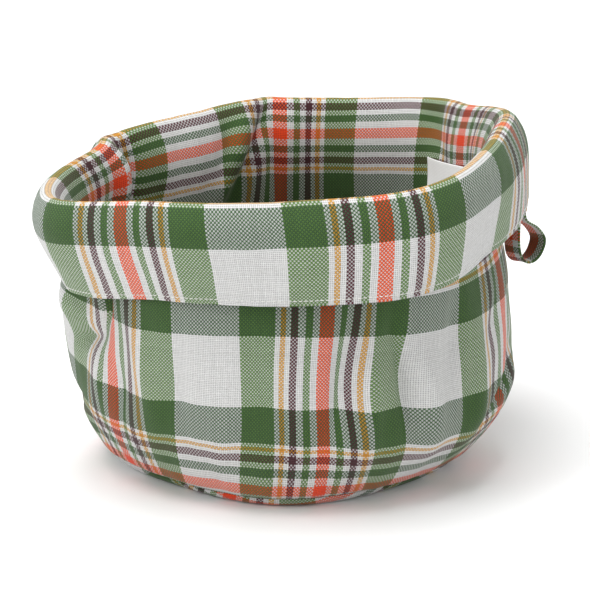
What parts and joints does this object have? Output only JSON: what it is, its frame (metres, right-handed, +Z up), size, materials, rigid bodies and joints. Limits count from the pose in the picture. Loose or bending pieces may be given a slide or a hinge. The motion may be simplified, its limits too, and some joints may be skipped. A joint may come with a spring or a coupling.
{
  "type": "bread basket",
  "caption": "Soft round-cornered bread basket sewn from plaid cotton, with a turned-down cuff and a hanging loop.",
  "frame": {"origin": "on the surface the basket stands on, below the middle of its base", "axes": "+Z up out of the mouth; -Y towards the front, where the cuff's rim is low and level; +X towards the side with the hanging loop"},
  "size_m": [0.2326, 0.2133, 0.159],
  "materials": {
    "plaid_cotton": "plain-weave cotton, green, white, orange, maroon and mustard plaid",
    "padding": "needled cotton wadding, off-white",
    "strap_cotton": "the same plaid cotton, folded and pressed",
    "sewing_thread": "off-white sewing thread",
    "label_satin": "blank white woven satin"
  },
  "bodies": {
    "basket": {"outer_wall": "plaid_cotton", "wall_padding": "padding", "lining_wall": "plaid_cotton", "outer_base": "plaid_cotton", "base_padding": "padding", "lining_base": "plaid_cotton", "hem_topstitch": "sewing_thread", "outer_seam_thread": "sewing_thread", "lining_seam_thread": "sewing_thread", "loop_stitching": "sewing_thread", "label_stitching": "sewing_thread"},
    "loop": {"hanging_loop": "strap_cotton"},
    "label": {"care_label": "label_satin"}
  },
  "joints": [
    {"name": "loop_swing", "type": "hinge", "parent": "basket", "child": "loop", "pos_m": [0.10693, 0.03066, 0.11008], "axis": [0.6157, -0.788, 0], "range_deg": [0, 85]},
    {"name": "label_flap", "type": "hinge", "parent": "basket", "child": "label", "pos_m": [0.08718, 0.03522, 0.105], "axis": [0, 0, 1], "range_deg": [-4, 100]}
  ]
}
